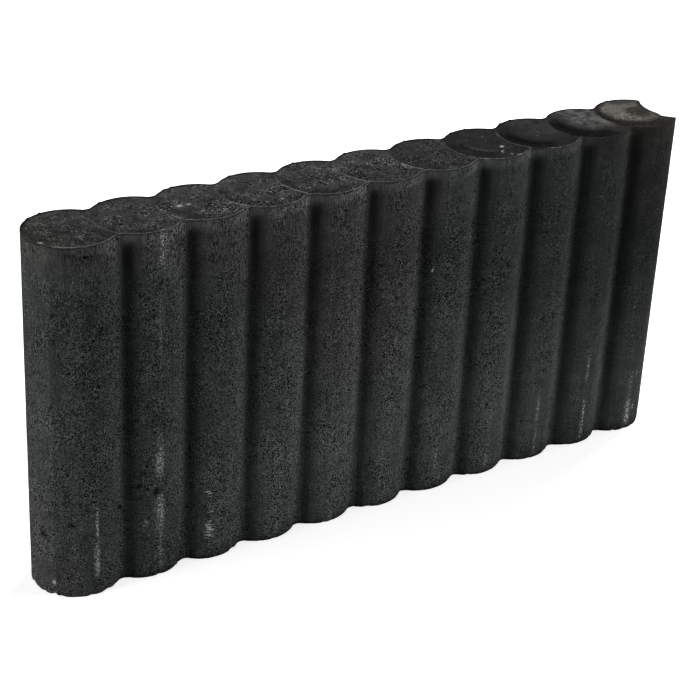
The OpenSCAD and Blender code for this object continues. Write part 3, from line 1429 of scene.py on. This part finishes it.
class Sheet:
    """A node tree, with one short method for each kind of node."""

    def __init__(self, owner: bpy.types.Material | bpy.types.World) -> None:
        """Empties the owner's tree.

        Args:
            owner: what the tree belongs to.
        """
        owner.use_nodes = True
        self.tree = owner.node_tree
        self.tree.nodes.clear()
        self.places: dict[Size, Socket] = {}
        self.masks: dict[str, Socket] = {}

    def node(self, kind: str, inputs: dict[str | int, object], **settings: object) -> bpy.types.Node:
        """Adds a node.

        Args:
            kind: the node's type.
            inputs: what each input takes: another node's output, or a value.
            settings: the node's own properties.

        Returns:
            The node.
        """
        made = self.tree.nodes.new(kind)
        for name, value in settings.items():
            setattr(made, name, value)
        for name, value in inputs.items():
            self.feed(made.inputs[name], value)
        return made

    def feed(self, socket: Socket, value: object) -> None:
        """Links value to the socket, or sets it there.

        Args:
            socket: a node's input.
            value: another node's output, or a value.
        """
        if isinstance(value, Socket):
            self.tree.links.new(value, socket)
        else:
            socket.default_value = value

    def place(self, stretch: Size) -> Socket:
        """Object coordinates in millimetres, made once for each stretch.

        Args:
            stretch: what each axis is multiplied by.

        Returns:
            The coordinates.
        """
        if stretch not in self.places:
            where = self.node("ShaderNodeTexCoord", {}).outputs["Object"]
            inputs = {"Vector": where, "Scale": tuple(share / MM for share in stretch)}
            self.places[stretch] = self.node("ShaderNodeMapping", inputs).outputs["Vector"]
        return self.places[stretch]

    def mask(self, name: str) -> Socket:
        """The number stored on the mesh under a name, made once for each name.

        Args:
            name: the mask's name.

        Returns:
            The number.
        """
        if name not in self.masks:
            node = self.node("ShaderNodeAttribute", {}, attribute_name=name)
            self.masks[name] = node.outputs["Fac"]
        return self.masks[name]

    def noise(self, pattern: Pattern) -> Socket:
        """The plain noise of a pattern.

        Args:
            pattern: the pattern.

        Returns:
            Values from 0 to 1.
        """
        inputs = {
            "Vector": self.place(pattern.stretch),
            "Scale": pattern.scale,
            "Detail": pattern.detail,
            "Roughness": pattern.rough,
        }
        return self.node("ShaderNodeTexNoise", inputs, noise_dimensions="3D").outputs["Fac"]

    def read(self, pattern: Pattern) -> Socket:
        """The noise of a pattern, read from its least to its most."""
        noise = self.noise(pattern)
        return self.span(noise, pattern.low, pattern.high, pattern.least, pattern.most)

    def span(
        self, value: Socket, low: float, high: float, to_low: float = 0.0, to_high: float = 1.0
    ) -> Socket:
        """Maps low..high to to_low..to_high with an eased, clamped rise."""
        inputs = {"Value": value, "From Min": low, "From Max": high, "To Min": to_low, "To Max": to_high}
        return self.node("ShaderNodeMapRange", inputs, interpolation_type="SMOOTHSTEP").outputs["Result"]

    def scatter(self, scatter: Scatter, mask: Socket) -> Socket:
        """Where a scatter's noise passes its bar.

        Args:
            scatter: the scatter.
            mask: what the bar sinks with.

        Returns:
            Values from 0 to 1.
        """
        bar = self.sum(Sum.SUBTRACT, scatter.bar, self.times(mask, scatter.fall))
        over = self.sum(Sum.SUBTRACT, self.noise(scatter.pattern), bar)
        return self.span(over, scatter.pattern.low, scatter.pattern.high)

    def sum(self, operation: Sum, *terms: object) -> Socket:
        """A Math node on up to three numbers."""
        return self.node("ShaderNodeMath", dict(enumerate(terms)), operation=operation.value).outputs[0]

    def times(self, first: object, second: object) -> Socket:
        """Product of two numbers."""
        return self.sum(Sum.MULTIPLY, first, second)

    def larger(self, first: object, second: object) -> Socket:
        """The larger of two numbers."""
        return self.sum(Sum.LARGER, first, second)

    def pair(self, kind: Kind, share: object, first: object, second: object) -> Socket:
        """Puts two colours or numbers together by a share.

        Args:
            kind: what they are.
            share: how much of the second there is.
            first, second: the two.

        Returns:
            The two together.
        """
        made = self.node("ShaderNodeMix", {}, data_type=kind.value)
        for socket, value in zip((s for s in made.inputs if s.enabled), (share, first, second)):
            self.feed(socket, value)
        return next(s for s in made.outputs if s.enabled)

    def mix(self, share: object, first: object, second: object) -> Socket:
        """Puts two colours together by a share."""
        return self.pair(Kind.COLOURS, share, first, second)

    def blend(self, share: object, first: object, second: object) -> Socket:
        """Puts two numbers together by a share."""
        return self.pair(Kind.NUMBERS, share, first, second)

    def shade(self, colour: Socket, level: Socket) -> Socket:
        """A colour times a number."""
        return self.node("ShaderNodeVectorMath", {0: colour, "Scale": level}, operation="SCALE").outputs[0]

    def looked_at(self) -> Socket:
        """1 for a ray that looks at the surround, straight, in a mirror or through glass, or else 0.

        Returns:
            The switch.
        """
        path = self.node("ShaderNodeLightPath", {}).outputs
        straight = self.larger(path["Is Camera Ray"], path["Is Glossy Ray"])
        return self.larger(straight, path["Is Transmission Ray"])


@dataclass(frozen=True)
class AnthraciteConcrete:
    """Through-coloured dark concrete with fine sand grains, pores, drag lines, dust and lime."""

    plan: Plan
    cool: Colour = (0.0425, 0.0470, 0.0458, 1.0)
    plain: Colour = (0.0452, 0.0458, 0.0456, 1.0)
    # the tops' body, lighter than the walls': painted light on the tops, which the low lamps light less
    top: Colour = (0.0700, 0.0700, 0.0698, 1.0)
    pore: Colour = (0.0040, 0.0042, 0.0042, 1.0)
    sand: Colour = (0.150, 0.153, 0.150, 1.0)
    burr: Colour = (0.290, 0.292, 0.288, 1.0)
    dust_grey: Colour = (0.130, 0.130, 0.128, 1.0)
    dust_brown: Colour = (0.185, 0.180, 0.156, 1.0)
    dirt_brown: Colour = (0.042, 0.037, 0.030, 1.0)
    olive: Colour = (0.062, 0.062, 0.047, 1.0)
    lime: Colour = (0.62, 0.63, 0.63, 1.0)
    roughness: float = 0.95
    specular: float = 0.0
    grain_relief: float = 4.0
    drag_relief: float = 0.3
    lump_relief: float = 7.0
    pit_relief: float = 0.7
    drawn_share: float = 0.5
    stain_speckle: float = 0.5
    pore_cover: float = 0.85
    scar_cover: float = 0.40
    dust_cover: float = 0.9
    burr_cover: float = 0.85
    burr_film: float = 0.30
    lime_cover: float = 0.95
    lime_film: float = 0.10
    seam_from: float = 0.15
    seam_w: float = 1.5
    grain: Pattern = Pattern(1.0 / 0.84, 2.0, 0.6, 0.40, 0.62, 0.0, 2.80)
    drawn_grain: Pattern = Pattern(1.0 / 0.84, 2.0, 0.6, stretch=(1.0, 1.0, 0.25))
    drag_lines: Pattern = Pattern(0.6, 2.0, 0.6, stretch=(1.0, 1.0, 0.08))
    lumps: Pattern = Pattern(0.38, 3.0, 0.6)
    clusters: Pattern = Pattern(0.055, 3.0, 0.6)
    dots: Pattern = Pattern(0.85, 1.0, 0.5, 0.64, 0.68)
    worms: Pattern = Pattern(0.36, 1.0, 0.5, 0.016, 0.044, 1.0, 0.0)
    worm_ends: Pattern = Pattern(0.33, 1.0, 0.5, 0.52, 0.56)
    mottle: Pattern = Pattern(0.09, 4.0, 0.6, 0.3, 0.7, 0.86, 1.14)
    streaks: Pattern = Pattern(0.4, 2.0, 0.6, 0.36, 0.64, 0.92, 1.08, (1.0, 1.0, 0.05))
    grit: Pattern = Pattern(0.8, 1.0, 0.5, 0.67, 0.70)
    loose_dirt: Pattern = Pattern(0.16, 5.0, 0.65, 0.35, 0.62)
    close_dirt: Pattern = Pattern(0.30, 5.0, 0.7, 0.30, 0.56, 0.1, 1.0)
    loose: Pattern = Pattern(0.085, 3.0, 0.6, 0.43, 0.57, 0.08, 1.0)
    clods: Pattern = Pattern(0.55, 2.0, 0.6, 0.40, 0.62, 0.25, 2.10)
    blotches: Pattern = Pattern(0.13, 2.0, 0.55, 0.40, 0.60, 0.74, 1.26)
    scars: Scatter = Scatter(Pattern(0.5, 3.0, 0.6, -0.04, 0.05), bar=0.74, fall=0.36)
    torn_burr: Scatter = Scatter(Pattern(0.6, 3.0, 0.7, -0.04, 0.10), bar=0.74, fall=0.42)
    crumbs: Scatter = Scatter(Pattern(0.95, 2.0, 0.6, -0.015, 0.045), bar=0.74, fall=0.36)
    dashes: Scatter = Scatter(
        Pattern(0.8, 1.0, 0.5, -0.01, 0.04, stretch=(0.36, 0.36, 1.0)), bar=0.80, fall=0.26
    )

    def material(self) -> bpy.types.Material:
        """Builds the material.

        Returns:
            The finished material.
        """
        made = bpy.data.materials.new("anthracite_concrete")
        sheet = Sheet(made)
        drawn = sheet.times(sheet.mask("drag"), self.drawn_share)
        grain = sheet.blend(drawn, sheet.noise(self.grain), sheet.noise(self.drawn_grain))
        clusters = sheet.noise(self.clusters)
        pits = self.pits(sheet, clusters)
        inputs = {
            "Base Color": self.colour(sheet, grain, pits, clusters),
            "Roughness": self.roughness,
            "Specular IOR Level": self.specular,
            "Normal": self.relief(sheet, grain, pits),
        }
        shader = sheet.node("ShaderNodeBsdfPrincipled", inputs)
        sheet.node("ShaderNodeOutputMaterial", {"Surface": shader.outputs[0]})
        return made

    def pits(self, sheet: Sheet, clusters: Socket) -> Socket:
        """Pores: round dots and worm-shaped grooves gathered in clusters, and the scars.

        A worm is where a noise is close to its middle value.

        Args:
            sheet: the material's tree.
            clusters: slow noise that gathers the pores.

        Returns:
            Values from 0 to 1.
        """
        worms = self.worms
        off_middle = sheet.sum(Sum.SIZE, sheet.sum(Sum.SUBTRACT, sheet.noise(worms), 0.5))
        lines = sheet.span(off_middle, worms.low, worms.high, worms.least, worms.most)
        lines = sheet.times(lines, sheet.read(self.worm_ends))
        pits = sheet.times(
            sheet.larger(sheet.read(self.dots), lines), sheet.span(clusters, 0.45, 0.58, 0.22, 1.0)
        )
        scar = sheet.mask("scar")
        scars = sheet.larger(sheet.scatter(self.scars, scar), sheet.times(scar, self.scar_cover))
        return sheet.larger(sheet.times(pits, self.sandy(sheet)), scars)

    def sandy(self, sheet: Sheet) -> Socket:
        """Where sand and pores lie open: 0 where the wall is smooth, and 1 where it is rough."""
        return sheet.span(sheet.mask("rough"), 0.0, 0.6)

    def colour(self, sheet: Sheet, grain: Socket, pits: Socket, clusters: Socket) -> Socket:
        """Base colour: body with its painted light and shade, sand, dirt, dust, pores, burr and lime,
        laid over each other.

        Args:
            sheet: the material's tree.
            grain, pits: patterns that the relief uses too.
            clusters: slow noise that gathers the grain in patches.

        Returns:
            The colour.
        """
        speckle = self.speckle(sheet, grain, clusters)
        body = sheet.mix(sheet.mask("neutral"), self.cool, self.plain)
        body = sheet.mix(sheet.mask("wall"), self.top, body)
        # this mask brings the painted light and shade of walls and tops into the colour, along with the tone
        level = sheet.times(sheet.times(sheet.read(self.mottle), speckle), sheet.mask("tone"))
        colour = sheet.shade(body, sheet.times(level, sheet.read(self.streaks)))
        grit = sheet.times(sheet.read(self.grit), self.sandy(sheet))
        grit = sheet.times(grit, sheet.span(clusters, 0.44, 0.56, 0.2, 0.85))
        colour = self.soiled(sheet, sheet.mix(grit, colour, self.sand), speckle)
        colour = sheet.mix(sheet.times(pits, self.pore_cover), colour, self.pore)
        colour = sheet.mix(self.burred(sheet), colour, self.burr)
        return sheet.mix(sheet.times(self.limed(sheet), self.lime_cover), colour, self.lime)

    def soiled(self, sheet: Sheet, colour: Socket, speckle: Socket) -> Socket:
        """Lays dirt and dust over a colour, the dirt where the dust is thin.

        Args:
            sheet: the material's tree.
            colour: what lies under them.
            speckle: brightness of the grain.

        Returns:
            The colour.
        """
        brown = sheet.mask("brown")
        patch = sheet.blend(brown, sheet.read(self.loose_dirt), sheet.read(self.close_dirt))
        stain = sheet.mix(sheet.span(brown, 0.6, 0.95), self.olive, self.dirt_brown)
        stain = sheet.shade(stain, sheet.blend(self.stain_speckle, speckle, 1.0))
        colour = sheet.mix(sheet.times(brown, sheet.span(patch, 0.0, 1.0, 0.9, 0.4)), colour, stain)
        dust = sheet.shade(sheet.mix(brown, self.dust_grey, self.dust_brown), speckle)
        return sheet.mix(sheet.times(sheet.mask("dust"), sheet.times(patch, self.dust_cover)), colour, dust)

    def burred(self, sheet: Sheet) -> Socket:
        """How pale the torn burr and the seams are.

        Args:
            sheet: the material's tree.

        Returns:
            Values from 0 to 1.
        """
        burr = sheet.larger(sheet.mask("burr"), sheet.times(self.seam_line(sheet), sheet.mask("seam")))
        torn = sheet.times(sheet.scatter(self.torn_burr, burr), sheet.span(burr, 0.08, 0.35))
        return sheet.larger(sheet.times(torn, self.burr_cover), sheet.times(burr, self.burr_film))

    def speckle(self, sheet: Sheet, grain: Socket, clusters: Socket) -> Socket:
        """Brightness of the grain: fine sand in patches, and clods and blotches where it is coarse.

        Args:
            sheet: the material's tree.
            grain: the fine grain.
            clusters: slow noise that gathers the grain in patches.

        Returns:
            Shares of the plain brightness.
        """
        coarse, loose, read = sheet.mask("coarse"), sheet.read(self.loose), self.grain
        patchy = sheet.blend(sheet.mask("wall"), loose, sheet.span(clusters, 0.40, 0.58, 0.48, 1.0))
        fine = sheet.span(grain, read.low, read.high, read.least, read.most)
        fine = sheet.blend(sheet.times(patchy, sheet.mask("rough")), 1.0, fine)
        clods = sheet.blend(sheet.times(coarse, loose), 1.0, sheet.read(self.clods))
        return sheet.times(fine, sheet.times(clods, sheet.blend(coarse, 1.0, sheet.read(self.blotches))))

    def limed(self, sheet: Sheet) -> Socket:
        """Lime: crumbs that grow denser with the mask, flat dashes, and a thin film under them.

        Args:
            sheet: the material's tree.

        Returns:
            Values from 0 to 1.
        """
        lime, dashes = sheet.mask("lime"), sheet.mask("dashes")
        crumbs = sheet.times(sheet.scatter(self.crumbs, lime), sheet.span(lime, 0.03, 0.5))
        flat = sheet.times(sheet.scatter(self.dashes, dashes), sheet.span(dashes, 0.1, 0.4))
        return sheet.larger(sheet.larger(crumbs, flat), sheet.times(lime, self.lime_film))

    def seam_line(self, sheet: Sheet) -> Socket:
        """Closeness to the seam where one column's top meets the next.

        With u the distance along X from the nearest column's axis, the gap is the length of
        (u less the pitch, y) less the column's radius. The line is 1 at no gap and 0 beyond its width.

        Args:
            sheet: the material's tree.

        Returns:
            Values from 0 to 1.
        """
        x, y = sheet.node("ShaderNodeSeparateXYZ", {0: sheet.place(EVEN)}).outputs[:2]
        half = self.plan.pitch / 2
        u = sheet.sum(Sum.WRAP, sheet.sum(Sum.SUBTRACT, x, self.plan.first_axis), half, -half)
        u = sheet.sum(Sum.SUBTRACT, u, self.plan.pitch)
        away = sheet.sum(Sum.ROOT, sheet.sum(Sum.ADD, sheet.times(u, u), sheet.times(y, y)))
        gap = sheet.sum(Sum.SIZE, sheet.sum(Sum.SUBTRACT, away, self.plan.column_r))
        return sheet.span(gap, self.seam_from, self.seam_w, 1.0, 0.0)

    def relief(self, sheet: Sheet, grain: Socket, pits: Socket) -> Socket:
        """Fine bumps in millimetres: sand grain, drag lines and lumps, less the pores.

        Args:
            sheet: the material's tree.
            grain, pits: patterns that the colour uses too.

        Returns:
            The bumped normal.
        """
        height = sheet.times(grain, sheet.times(sheet.mask("rough"), self.grain_relief))
        drag = sheet.times(sheet.mask("drag"), self.drag_relief)
        lines = sheet.times(sheet.noise(self.drag_lines), drag)
        lumps = sheet.times(sheet.noise(self.lumps), sheet.mask("coarse"))
        height = sheet.sum(Sum.ADD, height, lines)
        height = sheet.sum(Sum.ADD, height, sheet.times(lumps, self.lump_relief))
        height = sheet.sum(Sum.SUBTRACT, height, sheet.times(pits, self.pit_relief))
        inputs = {"Strength": 1.0, "Distance": MM, "Height": height}
        return sheet.node("ShaderNodeBump", inputs).outputs["Normal"]


# ---------------------------------------------------------------------------------------------
# Studio
# ---------------------------------------------------------------------------------------------


@dataclass(frozen=True)
class Lamp:
    """A soft square lamp, hung on a sphere round its target.

    Args:
        name: the lamp's name.
        azimuth, elevation: its direction in degrees, where azimuth 0 is in front of the block.
        distance: from the target, in metres.
        width: its side, in metres.
        power: in watts.
    """

    name: str
    azimuth: float
    elevation: float
    distance: float
    width: float
    power: float

    def build(self, target: Vector) -> bpy.types.Object:
        """Hangs the lamp and turns it to the target.

        Args:
            target: the point that it shines at.

        Returns:
            The lamp.
        """
        a, e = math.radians(self.azimuth), math.radians(self.elevation)
        away = Vector((math.sin(a) * math.cos(e), -math.cos(a) * math.cos(e), math.sin(e)))
        data = bpy.data.lights.new(self.name, "AREA")
        data.shape = "SQUARE"
        data.size = self.width
        data.energy = self.power
        lamp = bpy.data.objects.new(self.name, data)
        bpy.context.scene.collection.objects.link(lamp)
        lamp.location = target + away * self.distance
        lamp.rotation_euler = away.to_track_quat("Z", "Y").to_euler()
        return lamp


@dataclass(frozen=True)
class Studio:
    """Pale floor, white surround, lamps and the camera. Angles are in degrees."""

    floor_side: float = 12.0
    floor_colour: Colour = (0.80, 0.80, 0.80, 1.0)
    floor_glow: float = 0.75
    sky: float = 0.02
    lamps: tuple[Lamp, ...] = (
        Lamp("key", azimuth=56.0, elevation=10.6, distance=4.5, width=1.8, power=142.0),
        Lamp("left_fill", azimuth=-93.0, elevation=10.6, distance=4.5, width=1.8, power=194.0),
        Lamp("back_right", azimuth=120.0, elevation=28.0, distance=4.5, width=1.8, power=300.0),
    )
    lamp_target: Size = (0.0, 0.0, 0.12)
    camera_place: Size = (-0.68471, -0.96141, 0.71408)
    azimuth: float = 34.947
    elevation: float = 27.003
    roll: float = 2.995
    lens: float = 97.93
    sensor: float = 36.0

    def build(self) -> None:
        """Sets up the whole studio and reports its pieces."""
        self.surround()
        lamps = [lamp.build(Vector(self.lamp_target)) for lamp in self.lamps]
        pieces = [self.floor(), *lamps, self.camera()]
        bpy.context.scene.view_settings.view_transform = "Standard"
        for piece in pieces:
            log.info("studio: %s", piece.name)

    def surround(self) -> None:
        """Even pale light from all round, seen as white."""
        world = bpy.data.worlds.new("studio")
        bpy.context.scene.world = world
        sheet = Sheet(world)
        strength = sheet.blend(sheet.looked_at(), self.sky, 1.0)
        background = sheet.node("ShaderNodeBackground", {"Color": WHITE, "Strength": strength})
        sheet.node("ShaderNodeOutputWorld", {"Surface": background.outputs[0]})

    def floor(self) -> bpy.types.Object:
        """A wide pale floor that clips to white where the light is full and keeps the shadow.

        Returns:
            The floor.
        """
        half = self.floor_side / 2
        mesh = bpy.data.meshes.new("studio_floor")
        corners = [(-half, -half, 0), (half, -half, 0), (half, half, 0), (-half, half, 0)]
        mesh.from_pydata(corners, [], [(0, 1, 2, 3)])
        floor = bpy.data.objects.new("studio_floor", mesh)
        bpy.context.scene.collection.objects.link(floor)
        material = bpy.data.materials.new("pale_floor")
        sheet = Sheet(material)
        inputs = {
            "Base Color": self.floor_colour,
            "Roughness": 1.0,
            "Specular IOR Level": 0.0,
            "Emission Color": WHITE,
            "Emission Strength": sheet.times(sheet.looked_at(), self.floor_glow),
        }
        shader = sheet.node("ShaderNodeBsdfPrincipled", inputs)
        sheet.node("ShaderNodeOutputMaterial", {"Surface": shader.outputs[0]})
        mesh.materials.append(material)
        return floor

    def camera(self) -> bpy.types.Object:
        """The camera, by its place, heading, tilt and roll.

        Returns:
            The camera.
        """
        data = bpy.data.cameras.new("view")
        data.lens = self.lens
        data.sensor_width = self.sensor
        a, e, r = (math.radians(angle) for angle in (self.azimuth, self.elevation, self.roll))
        ahead = Vector((math.sin(a) * math.cos(e), math.cos(a) * math.cos(e), -math.sin(e)))
        level = Vector((math.cos(a), -math.sin(a), 0.0))
        right = level * math.cos(r) + level.cross(ahead) * math.sin(r)
        camera = bpy.data.objects.new("view", data)
        camera.location = self.camera_place
        camera.rotation_euler = Matrix((right, right.cross(ahead), -ahead)).transposed().to_euler()
        bpy.context.scene.collection.objects.link(camera)
        bpy.context.scene.camera = camera
        return camera


def main() -> None:
    """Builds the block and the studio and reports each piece."""
    logging.basicConfig(level=logging.INFO, format="%(name)s: %(message)s")
    _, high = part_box("palisade")
    plan = Plan(column_r=high.y / MM, half_length=high.x / MM)
    block = Block(plan, TopRelief(plan, height=high.z / MM)).build()
    block.data.materials.append(AnthraciteConcrete(plan).material())
    log.info("%s: %d faces, %d points", block.name, len(block.data.polygons), len(block.data.vertices))
    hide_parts("palisade")
    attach(block, "root")
    Studio().build()


if __name__ == "__main__":
    main()
